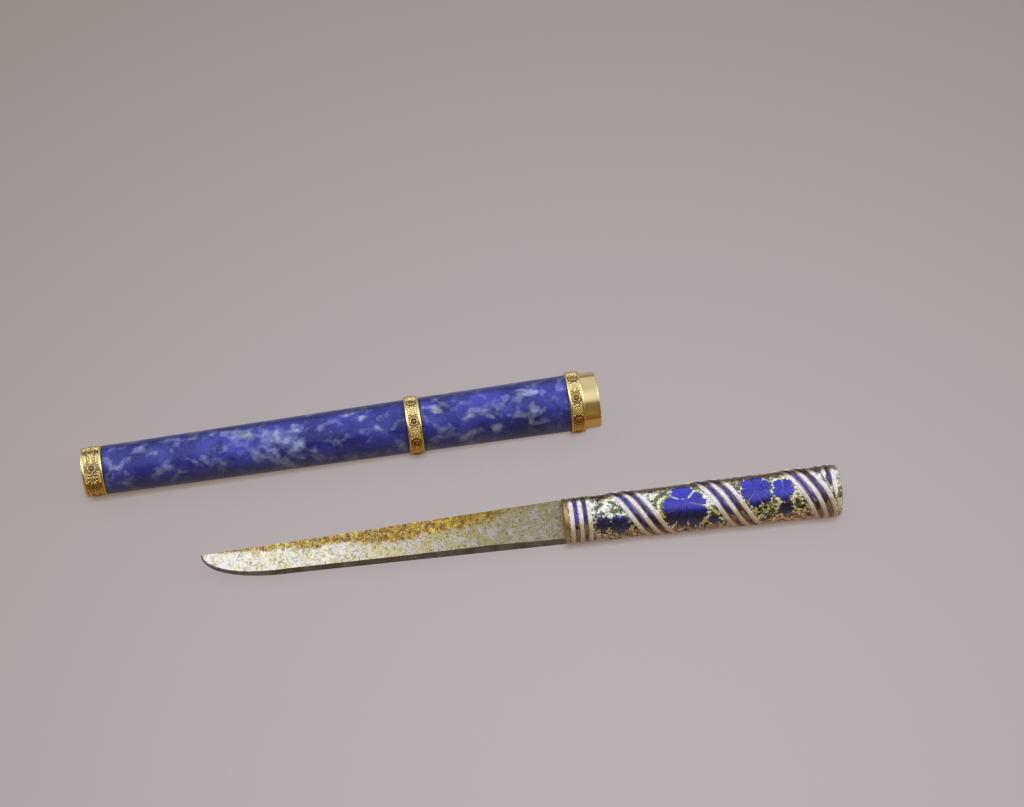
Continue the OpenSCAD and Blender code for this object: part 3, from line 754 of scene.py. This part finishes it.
def chased_strip(name, centre, half, outer_r, inner_rows):
    """A band whose cross-section has two round rims and a chased strip between them."""
    strip_r = outer_r - STRIP_DROP
    cell = 2 * np.pi * strip_r / ROSETTES
    v = np.linspace(-half, half, 46)

    def rim(side):
        """The part of a round rim that stands clear of the strip."""
        mid = centre + side * half + side * RIM_R
        arc = [(mid - RIM_R * math.cos(a), outer_r - RIM_R + RIM_R * math.sin(a)) for a in np.linspace(0, np.pi, 13)]
        return [(s, r) for s, r in arc if r > strip_r - 0.001 or side * (s - mid) > 0]

    first = rim(-1)
    rows = first + [(centre + x, strip_r) for x in v] + rim(1) + inner_rows
    strip = slice(len(first), len(first) + len(v))
    # places round (u) and along (v) the strip
    u, v = np.broadcast_arrays(np.radians(turn_angles(CHASED_STEPS) - ROSETTE_PHASE) * strip_r, v)
    height = chased(u, v, cell, half)
    under_rosette = np.hypot((u + cell / 2) % cell - cell / 2, v) < ROSETTE_D / 2 + 0.1
    punch = value_noise(stacked(u, v, 0), 0.22, 11) * 0.035
    height = np.where(under_rosette, -0.02, height + np.where(height < 0.02, punch - 0.02, 0))

    def relief(S, A, R):
        out = np.zeros(S.shape)
        out[:, strip] = np.minimum(height, STRIP_DROP) * unit((half - np.abs(v)) / 0.08)
        return out

    # tone 0 darkens the hollows, tone 1 is the gilding's painted side shade
    def hollows_and_side_shade(S, A, R):
        tone = np.ones(S.shape)
        tone[:, strip] = np.clip(0.22 + height / 0.2, 0.1, 1)
        # the cap's end plate has one painted side shade alike all over
        return stacked(tone, np.where(S < 0.001, 0.6, gilt_side_shade(A)), 0)

    revolve(name, sheath, rows, CHASED_STEPS, chased_gold, "gilt_metal", relief, hollows_and_side_shade, sharp=50, weld=0.002)


def inside(s):
    return stone_r(s) + CEMENT


middle_r = stone_r(MIDDLE_S) + BAND_RISE
throat_r = stone_r(THROAT_S) + BAND_RISE
cap_r = stone_r(CAP_LEN) + CAP_RISE
for name, centre, outer in (("middle_band", MIDDLE_S, middle_r), ("throat_band", THROAT_S, throat_r)):
    s0, s1 = centre - BAND_W / 2, centre + BAND_W / 2
    chased_strip(name, centre, BAND_W / 2 - 2 * RIM_R, outer,
                 [(s1 - RIM_R * 0.6, inside(s1)), (centre, inside(centre)), (s0 + RIM_R * 0.6, inside(s0))])

chased_strip("end_cap", CAP_LEN / 2, CAP_LEN / 2 - 2 * RIM_R, cap_r,
             [(CAP_LEN, cap_r - RIM_R - 0.01), (CAP_LEN, stone_r(CAP_LEN) - STONE_WALL),
              (CAP_PLATE, stone_r(CAP_PLATE) - STONE_WALL), (CAP_PLATE, 0.0), (0.0, 0.0),
              (0.0, (cap_r - RIM_R) * 0.33), (0.0, (cap_r - RIM_R) * 0.66)])


def mouth_collar():
    lip = 0.25
    r = STONE_MOUTH_R - COLLAR_DROP
    rows = [(collar_s + (SHEATH_LEN - lip - collar_s) * k / 10, r) for k in range(10)]
    rows += rounded(SHEATH_LEN - lip, r, lip, 8) + [(s, stone_r(s) - STONE_WALL) for s in (SHEATH_LEN, collar_s)]

    # tone 1 is the gilding's painted side shade
    revolve("mouth_collar", sheath, rows, TURN_STEPS, plain_gold, "gilt_metal",
            lambda S, A, R: uneven_skin(S, A, R, 3.0, 5, 0.025) * (R > r - 0.3),
            lambda S, A, R: stacked(1, gilt_side_shade(A), 0))


mouth_collar()


def rosettes(name, centre, outer_r):
    """Domed petals round a groove, with a bead in the middle."""
    share = np.concatenate([np.linspace(0, 0.155, 5), np.linspace(0.175, 0.345, 7), np.linspace(0.36, 0.5, 8)])
    rho, theta = np.meshgrid(share * ROSETTE_D, np.arange(64) * 2 * np.pi / 64)
    share = rho / (ROSETTE_D / 2)
    petal = np.abs(np.cos(4 * theta))
    lobe = 0.9 + 0.1 * petal ** 0.6
    rho = rho * np.where(share > 0.7, lobe + (1 - lobe) * (1 - share) / 0.3, 1)
    bead = BEAD_H * 0.55 + BEAD_H * 0.45 * np.sqrt(unit(1 - (share / 0.34) ** 2))
    dome = PETAL_H * (0.55 + 0.45 * np.sin(unit((share - 0.70) / 0.30) * np.pi)) * (0.75 + 0.25 * petal)
    where = [share < 0.34, share <= 0.70]
    h = np.minimum(np.select(where, [bead, PETAL_H / 3], dome), BEAD_H)
    tone = np.select(where, [0.2, 0.1], unit(0.1 + h / PETAL_H * 0.6))
    # the last ring goes down to the strip
    rho, theta = (np.column_stack([v, v[:, -1]]) for v in (rho, theta))
    h, tone = (np.column_stack([v, np.full(len(v), end)]) for v, end in ((h, 0.0), (tone, 0.2)))
    patches = Patches()
    for k in range(ROSETTES):
        phi = ROSETTE_PHASE + 360 / ROSETTES * k
        out = outer_r - STRIP_DROP + SLIT / 2 + h
        points = sheath.turned(centre - rho * np.cos(theta), out, rho * np.sin(theta), phi)
        # tone 1 is the gilding's painted side shade
        patches.add(points, stacked(tone, gilt_side_shade(phi), 0), disc=True)
    patches.make(name, "sheath", chased_gold, "gilt_metal", sharp=60, weld=0.002)


rosettes("end_cap_rosettes", CAP_LEN / 2, cap_r)
rosettes("middle_band_rosettes", MIDDLE_S, middle_r)
rosettes("throat_band_rosettes", THROAT_S, throat_r)

dress("end_cap_enamel", enamel("green_brown_enamel", (126, 98, 30), (58, 46, 14)))
dress("middle_band_enamel", enamel("brown_enamel", (112, 70, 20), (54, 32, 8)))
dress("throat_band_enamel", enamel("red_brown_enamel", (160, 92, 34), (96, 48, 14)))
dress("sheath_liner", inner_brass)
dress("liner_end_disc", inner_brass)


# ---- blade
def spine_at(s):
    return SPINE_HEEL + (POINT_UP - SPINE_HEEL) * (HEEL_S - s) / BLADE_LEN


def edge_at(s):
    return -EDGE_HEEL + (EDGE_HEEL - EDGE_BELLY) * (HEEL_S - s) / (HEEL_S - BELLY_S)


def blade_pairs():
    """Points on the spine and the edge, each (station, height), and their place from heel to point."""
    pairs = []
    for f in np.arange(60) / 60:
        s = HEEL_S + (BELLY_S - HEEL_S) * f
        pairs.append(((s, spine_at(s)), (s, edge_at(s)), f * 10 / 27))
    for f in np.arange(65) / 64:
        back = BELLY_S - (BELLY_LEN - POINT_T) * f
        along = math.sin(math.radians(90 * f)) ** (2 / BELLY_POWER)
        down = max(0.0, math.cos(math.radians(90 * f))) ** (2 / BELLY_POWER)
        edge = (BELLY_S - BELLY_LEN * along, POINT_UP - SLIT - (POINT_UP + EDGE_BELLY) * down)
        pairs.append(((back, spine_at(back)), edge, (10 + 16 * f) / 27))
    return pairs


# At shares of the way from heel to point: the bevel's width in mm, worn narrower toward the tip, and how
# far the tarnish reaches from the spine, where 0.6 is about half the side's width
BEVEL_W = [(0, 1.8), (0.1, 2.2), (0.2, 1.85), (0.37, 1.7), (0.5, 1.6), (0.73, 1.25), (0.83, 0.9), (1, 0.4)]
TARNISH = [(0, -0.1), (0.10, 0.02), (0.18, 0.12), (0.3, 0.30), (0.42, 0.54), (0.52, 0.47), (0.62, 0.29),
           (0.72, 0.36), (0.84, 0.19), (0.92, 0.12), (1, -0.2)]


def make_blade():
    """Sections from heel to point, down one face and up the other; q is 0 at the spine, 1 at the bevel and
    2 at the edge."""
    sections = []
    for spine, edge, place in blade_pairs():
        spine, edge = np.array(spine), np.array(edge)
        t = (SPINE_T + (POINT_T - SPINE_T) * (HEEL_S - spine[0]) / BLADE_LEN) / 2
        width = np.linalg.norm(spine - edge)
        share = min(np.interp(place, *zip(*BEVEL_W)), 0.4 * width) / width
        shoulder_t = t * (1 - 0.05 * (1 - share))
        half = [(spine * (1 - q * (1 - share)) + edge * q * (1 - share), t + (shoulder_t - t) * q, q)
                for q in (*np.linspace(0, 0.97, 26), 1.0)]
        # the spine's corners are worn round
        half[0] = (spine, t - min(0.25, 0.1 * width) * 0.5, 0.0)
        half += [(spine * share * (1 - q) + edge * (1 - share * (1 - q)),
                  shoulder_t + (EDGE_T / 2 - shoulder_t) * q, 1 + q) for q in (0.04, 0.25, 0.5, 0.75, 1.0)]
        sections.append([(*p, h, q) for p, h, q in half] + [(*p, -h, q) for p, h, q in half[::-1]])
    s, up, out, q = np.moveaxis(np.array(sections), -1, 0)
    along = (HEEL_S - s) / BLADE_LEN
    drift = value_noise(stacked(s, up, 0), 9.0, 21)
    reach = np.interp(along, *zip(*TARNISH))
    tarnish = unit((reach + 0.16 * drift - q * 1.2) / 0.42 + 0.55)
    patches = Patches()
    patches.add(knife.turned(s, up, out, SPINE_ANGLE), stacked(along, tarnish, unit((q - 1.0) / 0.04)))
    patches.make("blade", "knife", blade_steel(), "blade_steel", sharp=6, weld=0.0005)


make_blade()


# ---- handle
WHITE_DRAWN = 0.97  # shares of the part's own width that the threads are drawn
COLOUR_DRAWN = 0.9


def run_s(a):
    """Where the spiral is after so many degrees, were there no rings."""
    return SPIRAL_S + TURN_LEN * a / 360


def eased(v):
    """0 before 0 and v after it, with a parabola between."""
    return np.where(v <= -RING_BLEND, 0, np.where(v >= RING_BLEND, v, (v + RING_BLEND) ** 2 / (4 * RING_BLEND)))


def ribbon_s(a):
    """The middle of the five threads, from the front ring through the spiral to the rear ring."""
    return REAR_RING_S - eased(REAR_RING_S - FRONT_RING_S - eased(run_s(a) - FRONT_RING_S))


def winding(a):
    """0 in the two rings and 1 in the spiral between them."""
    inward = np.minimum(run_s(a) - FRONT_RING_S, REAR_RING_S - run_s(a))
    return unit((inward + RING_BLEND) / (2 * RING_BLEND))


def thread_s(k, a):
    """Thread k of the five, from -2 to 2: white, blue, white, brown and white."""
    return ribbon_s(a) + k * (RING_GAP + (SPIRAL_GAP - RING_GAP) * winding(a))


def half_across(k, a):
    """Half of a thread's width, measured along the handle."""
    rise = TURN_LEN / (2 * np.pi * glass_r(ribbon_s(a))) * winding(a)
    return (WHITE_W if k % 2 == 0 else COLOUR_W) / 2 * np.sqrt(1 + rise * rise)


def thread_edge(k, a, side):
    """Its edge toward the ferrule (-1) or the butt (1)."""
    return thread_s(k, a) + side * half_across(k, a)


def thread_ends(k):
    """The angles where a thread's two free ends meet the next turn of the threads."""
    a = (FRONT_RING_S - RING_BLEND - SPIRAL_S) * 360 / TURN_LEN
    while thread_edge(k, a, 1) + 2 * SLIT <= thread_edge(-2, a + 360, -1):
        a -= 3
    b = (REAR_RING_S + RING_BLEND - SPIRAL_S) * 360 / TURN_LEN
    while thread_edge(k, b, -1) - 2 * SLIT >= thread_edge(2, b - 360, 1):
        b += 3
    return a + 3, b - 3


def underside(angle):
    """0 over most of the handle and 1 along the side that lies on the table."""
    return unit((np.cos(np.radians(np.asarray(angle) - 220)) - 0.30) / 0.5)


def glass_side_shade(angle, near=116, near_run=18, far=70, far_run=10):
    """Painted light and shade for the glass: 0 along the handle's pale crown and back, and 1 on the darker sides,
    reached after so many degrees.
    """
    a = lap(angle)
    return unit(np.maximum((a - near) / near_run, (far - a) / far_run)) * (1 - band(angle, *GLASS_BACK))


def ribbon(name, keys, height, material, slot, seed):
    patches = Patches()
    across = np.linspace(-1, 1, 11)
    crown = (1 - np.abs(across) ** 2.6) ** 0.6
    for k in keys:
        a0, a1 = thread_ends(k)
        a = np.arange(a0, a1, 2.0)[:, None]
        # a free end is drawn out to a point
        drawn = np.clip(np.minimum(a - a0, a1 - a) / 16, 0.12, 1) ** 0.7
        # the coloured threads grow thinner toward the table side
        half = half_across(k, a) * (WHITE_DRAWN if k % 2 == 0 else COLOUR_DRAWN - 0.3 * underside(a - 12)) * drawn
        around = stacked(a * 0.14, k * 9.0, 0)
        lift = height * (0.93 + 0.07 * value_noise(around, 2.5, seed + 1)) * drawn
        S = thread_s(k, a) + across * (half * (0.96 + 0.04 * value_noise(around, 4.0, seed)))
        back = S[:, ::-1]
        R = np.hstack([glass_r(S) + 0.02 + crown * lift, glass_r(back) - 0.06])
        S = np.hstack([S, back])
        A = np.broadcast_to(a, S.shape)
        # tones: painted side shade, painted dark far edge and painted warm reflection toward the table
        patches.add(knife.place(S, A, R), stacked(glass_side_shade(A, 112, 36), band(A, *GLASS_FAR), underside(A)))
    patches.make(name, "knife", material, slot, sharp=60)


def make_glass():
    butt_s = HANDLE_LEN - BUTT_ROUND
    edge_r = glass_r(butt_s)
    rows = [(butt_s * k / 270, glass_r(butt_s * k / 270)) for k in range(271)]
    rows += rounded(butt_s, edge_r, BUTT_ROUND, 12)[1:]
    rows += [(HANDLE_LEN, (edge_r - BUTT_ROUND) * q) for q in (0.75, 0.5, 0.25, 0.0)]
    rows += [(TANG_HOLE_DEPTH, 0.0), (TANG_HOLE_DEPTH, TANG_HOLE_R), (0.0, TANG_HOLE_R)]

    def lumps(S, A, R):
        skin = (R > glass_r(S) - 0.2) & (S < butt_s + 0.2)
        return uneven_skin(S, A, R, 2.6, 8, 0.03) * skin

    def marks(S, A, R):
        """Painted shade on the sides, in the grooves between neighbour threads and on the far edge, and a painted
        warm reflection on the table side.
        """
        groove = np.zeros(S.shape)
        for turn in range(-2, 5):
            a = A + 360 * turn
            wound = (a > -460) & (a < 1210)
            for k in (-1.5, -0.5, 0.5, 1.5):
                away = np.abs(S - thread_s(k, a)) / 0.42
                groove = np.maximum(groove, np.where(wound, unit(1.35 - away), 0))
        # clear glass with less behind it at the butt takes less painted shade, and the end face one painted shade
        # alike all over
        end = unit((S - (HANDLE_LEN - 4.5)) / 2)
        face = unit((edge_r - 0.4 * BUTT_ROUND - R) / (0.6 * BUTT_ROUND)) * (S > butt_s)
        return stacked(glass_side_shade(A) * (1 - 0.75 * end) * (1 - face) + 0.2 * face,
                       groove * (1 - face) + band(A, *GLASS_FAR) * (1 - face),
                       underside(A) * (1 - 0.6 * end) * (1 - face))

    revolve("handle_glass", knife, rows, GLASS_STEPS, handle_ground(), "pale_glass", lumps, marks, weld=0.002)


make_glass()
# each: light and dark streaks, speck, two painted side shades, a painted dark far edge and a painted warm reflection
white = cane("white_cane", (242, 238, 234), (204, 192, 202), (140, 118, 106),
             (208, 192, 168), (196, 174, 142), (44, 38, 38), (208, 158, 98))
blue = cane("violet_blue_cane", (78, 64, 166), (40, 32, 104), (24, 20, 52),
            (44, 30, 30), (136, 116, 82), (26, 20, 34), (104, 62, 28))
brown = cane("dark_brown_cane", (78, 62, 138), (36, 26, 44), (28, 20, 30),
             (40, 26, 18), (128, 106, 72), (26, 20, 26), (98, 58, 26))
ribbon("white_threads", (-2, 0, 2), THREAD_H, white, "white_glass", 31)
ribbon("blue_thread", (-1,), THREAD_H - COLOUR_DROP, blue, "violet_blue_glass", 41)
ribbon("brown_thread", (1,), THREAD_H - COLOUR_DROP, brown, "dark_brown_glass", 51)

dress("ferrule", ferrule_gold)
dress("tang_cement", inner_brass)


# Each row: turn of the threads behind it, angle, share across the free field, size as a share of
# its width, and the petals or the leaf's own turn, as in the part's source
BLUE = [[-1, 143, 0.668, 0.467, 5], [0, 112, 0.525, 0.641, 7], [1, 94, 0.324, 0.516, 6],
        [1, 101, 0.773, 0.361, 5], [-1, 304, 0.478, 0.487, 6], [0, 300, 0.474, 0.579, 7],
        [0, 235, 0.33, 0.289, 5], [1, 262, 0.465, 0.612, 6]]
VIOLET = [[-1, 134, 0.282, 0.324, 5], [1, 146, 0.587, 0.206, 5], [0, 155, 0.81, 0.155, 5],
          [-1, 215, 0.359, 0.237, 5], [0, 330, 0.784, 0.237, 5], [-1, 350, 0.67, 0.217, 5]]
GREEN = [[-1, 88, 0.265, 0.435, 35], [-1, 82, 0.808, 0.413, -30], [-1, 106, 0.735, 0.336, 10],
         [0, 87, 0.143, 0.196, 65], [0, 69, 0.386, 0.185, 20], [0, 58, 0.567, 0.185, -20],
         [0, 106, 0.138, 0.176, 75], [1, 42, 0.463, 0.176, 35], [1, 156, 0.228, 0.188, -10],
         [1, 139, 0.843, 0.165, 50], [1, 66, 0.846, 0.176, -20], [1, 166, 0.624, 0.19, 15],
         [-1, 262, 0.342, 0.196, 30], [-1, 316, 0.769, 0.185, -40], [0, 280, 0.201, 0.196, 20],
         [0, 286, 0.898, 0.176, -35], [0, 357, 0.175, 0.176, 60], [1, 304, 0.676, 0.356, 15],
         [-1, 345, 0.164, 0.176, 0]]
GILT = [[0, 172, 0.117, 0.166, 20], [0, 182, 0.345, 0.176, -15], [0, 178, 0.618, 0.166, 40],
        [1, 180, 0.141, 0.174, -20], [1, 184, 0.389, 0.176, 10], [-1, 172, 0.326, 0.198, -30],
        [0, 214, 0.149, 0.176, 20], [1, 222, 0.177, 0.217, -10], [-1, 352, 0.37, 0.176, 45],
        [1, 10, 0.324, 0.185, 30], [1, 20, 0.779, 0.176, -20], [0, 20, 0.788, 0.176, 10]]
LEAF_SHARE = 0.36  # a leaf's width as a share of its length
BLUE_GROW, VIOLET_GROW = 1.2, 1.4
SUNK = -0.09  # mm, the petals' and leaves' undersides in the glass


def spot(place):
    """The station, angle and size in mm of a row of these tables."""
    turn, angle, share, size = place[:4]
    behind = thread_edge(2, angle + 360 * turn, 1)
    field = thread_edge(-2, angle + 360 * (turn + 1), -1) - behind
    return float(behind + field * share), angle, float(field * size)


def aside(angle, y, s):
    """The angle of a place on the glass that lies y mm to the side of another."""
    return angle + np.degrees(np.arcsin(y / glass_r(s)))


def press(patches, x, y, lift, tone, s0, angle0, disc=False):
    """Adds a drawing pressed straight down onto the glass cone, with its underside sunk into it."""
    under = slice(-1, None) if disc else slice(None, None, -1)
    both = ((x, x), (y, y), (lift, 0 * lift + SUNK), (tone, tone))
    x, y, lift, tone = (np.hstack([upper, lower[:, under]]) for upper, lower in both)
    s = s0 - x
    patches.add(knife.place(s, aside(angle0, y, s), glass_r(s) + lift), tone, disc)


def teeth(t, count, seed):
    """A ragged saw of that many points, from 0 to 1."""
    k = t * count
    i = np.floor(k).astype(int)
    jag = np.random.default_rng(seed).uniform(0.35, 1.0, count + 2)
    rise = 1 - np.abs(2 * (k - i) - 1)
    return rise * jag[i % count]


def blossom_outline(t, petals, seed, lean):
    """Ragged, uneven petals: the radius as a share of the flower's own, how near a crease is, its depth
    and the petal's tint."""
    own = np.random.default_rng(seed)
    reach = own.uniform(0.86, 1.06, petals)
    depth = own.uniform(0.15, 1.0, petals)
    u = ((t - lean * np.cos(t) - math.radians(18)) * petals / (2 * np.pi)) % petals
    k = np.floor(u + 0.5).astype(int) % petals
    off = np.abs(u - np.floor(u + 0.5)) * 2      # 0 on a petal's middle line, 1 on a crease
    side = np.where(u - np.floor(u + 0.5) > 0, k, (k - 1) % petals)
    out = 0.74 + 0.26 * np.sqrt(unit(1 - off ** 2.6))
    out = out * (reach[k] * (1 - off / 2) + reach[(k + np.where(side == k, 1, -1)) % petals] * off / 2)
    out = out * (1 - 0.15 * teeth(t / (2 * np.pi) % 1, petals * 4, seed))
    notch = unit((off - 0.84) / 0.16)
    tint = own.uniform(-0.12, 0.22, petals)[k]
    return out * (1 - 0.30 * notch * depth[side]), off, depth[side], tint


def press_flowers(name, places, material, slot, grow):
    patches = Patches()
    rings = np.concatenate([np.linspace(0, 0.8, 9), [0.88, 0.94, 0.98, 1.0]])
    t = (np.arange(168) * 2 * np.pi / 168)[:, None]
    for seed, place in enumerate(places):
        s0, a0, d = spot(place)
        large = place[4] == 7
        out, crease, depth, tint = blossom_outline(t, place[4], 100 + seed, 0.62 if large else 0.0)
        if large:
            # one broad petal on top, and longer ones below that spread wider than it
            low = unit(-np.sin(t))
            out = out * (1 + 0.26 * unit(np.sin(t) + 0.25) - 0.14 * low - 0.20 * low * np.abs(np.cos(t)))
        rho = rings * out * d * grow / 2
        x, y = rho * np.cos(t), rho * np.sin(t) - (0.1 * d if large else 0)
        narrow = unit((1 - crease) * np.maximum(rings, 0.12) / (0.20 if large else 0.10))
        # a shallow crease fades out toward the middle of the flower
        fade = unit((rings - (1 - depth) * 0.9) / 0.15)
        groove = 1 - np.exp(-(narrow * 1.6) ** 2)
        groove = 1 - (1 - groove) * fade
        dome = np.sqrt(unit(1 - rings ** 4)) * (0.75 + 0.25 * np.sqrt(unit(1 - crease ** 2)))
        eye = unit(1 - rings / 0.13)
        lift = 0.01 + BLOSSOM_H * dome * (0.35 + 0.65 * groove) * (1 - 0.3 * eye)
        rays = stacked(t * d * 0.5, rings * d * 0.12, seed * 3.0)
        # painted shade toward the sides, with a random tint per petal
        shade = glass_side_shade(aside(a0, y, s0), 112, 26, 66, 10)
        shade = unit(shade + tint + 0.24 * value_noise(rays, 0.5, 61))
        line = unit(groove + 0.55 * (rings < 0.1) - 0.55 * eye)
        paleness = 0.5 * unit((rings - 0.6) / 0.3) * depth
        if large:
            # pale flecks over the middle, above the dark lower petals
            paleness = unit(0.75 - 1.6 * np.sin(t))
            fleck = value_noise(stacked(x * 0.6, y, seed), 0.6, 71)
            line = line * (1 - 0.8 * paleness * unit(fleck * 2.4 - 0.5) * unit((0.55 - rings) / 0.3))
        press(patches, x, y, lift, stacked(line, shade, paleness), s0, a0, disc=True)
    patches.make(name, "knife", material, slot, sharp=70, weld=0.002)


def press_leaves(name, places, material, slot):
    patches = Patches()
    along = np.linspace(0, 1, 34)[:, None]
    across = np.linspace(-1, 1, 11)
    for seed, place in enumerate(places):
        s0, a0, length = spot(place)
        own = math.radians(place[4])
        half = LEAF_SHARE * length / 2 * np.sin(np.pi * np.clip(along, 0.004, 0.996)) ** 0.7
        saw = 1 - 0.32 * teeth(along * 0.999, 7, 300 + seed)
        X = (along - 0.5) * length + np.abs(across) * half * 0.35 * np.sin(np.pi * along)
        X, Y = np.clip(X, -length / 2, length / 2), across * (half * saw)
        x = X * math.cos(own) - Y * math.sin(own)
        y = X * math.sin(own) + Y * math.cos(own)
        rib = 1 - np.exp(-(Y / 0.09) ** 2)
        dome = np.sqrt(unit(1 - across ** 4))
        lift = 0.01 + LEAF_H * dome * (0.55 + 0.45 * rib) * np.sin(np.pi * np.clip(along, 0.02, 0.98)) ** 0.4
        # tone 1 is painted shade toward the sides
        press(patches, x, y, lift, stacked(rib, 0.7 * glass_side_shade(aside(a0, y, s0)), 1), s0, a0)
    patches.make(name, "knife", material, slot, sharp=70, weld=0.0005)


# each: light, dark and deep glass, where dark and deep also serve the painted side shade, and the crease line
blue = flower("blue_flower", (50, 48, 194), (28, 26, 116), (12, 13, 46), (206, 216, 188))
violet = flower("violet_flower", (44, 38, 134), (28, 22, 86), (20, 15, 48), (120, 110, 120))
green = flower("green_leaf", (66, 90, 58), (38, 54, 34), (30, 32, 14), (176, 190, 132), 0.5)
gilt = flower("gilt_leaf", (214, 176, 88), (150, 108, 40), (96, 56, 18), (240, 220, 150), 0.5)
press_flowers("blue_blossoms", BLUE, blue, "blue_glass", BLUE_GROW)
press_flowers("violet_blossoms", VIOLET, violet, "violet_glass", VIOLET_GROW)
press_leaves("green_leaves", GREEN, green, "green_glass")
press_leaves("gilt_leaves", GILT, gilt, "gold_flecked_glass")
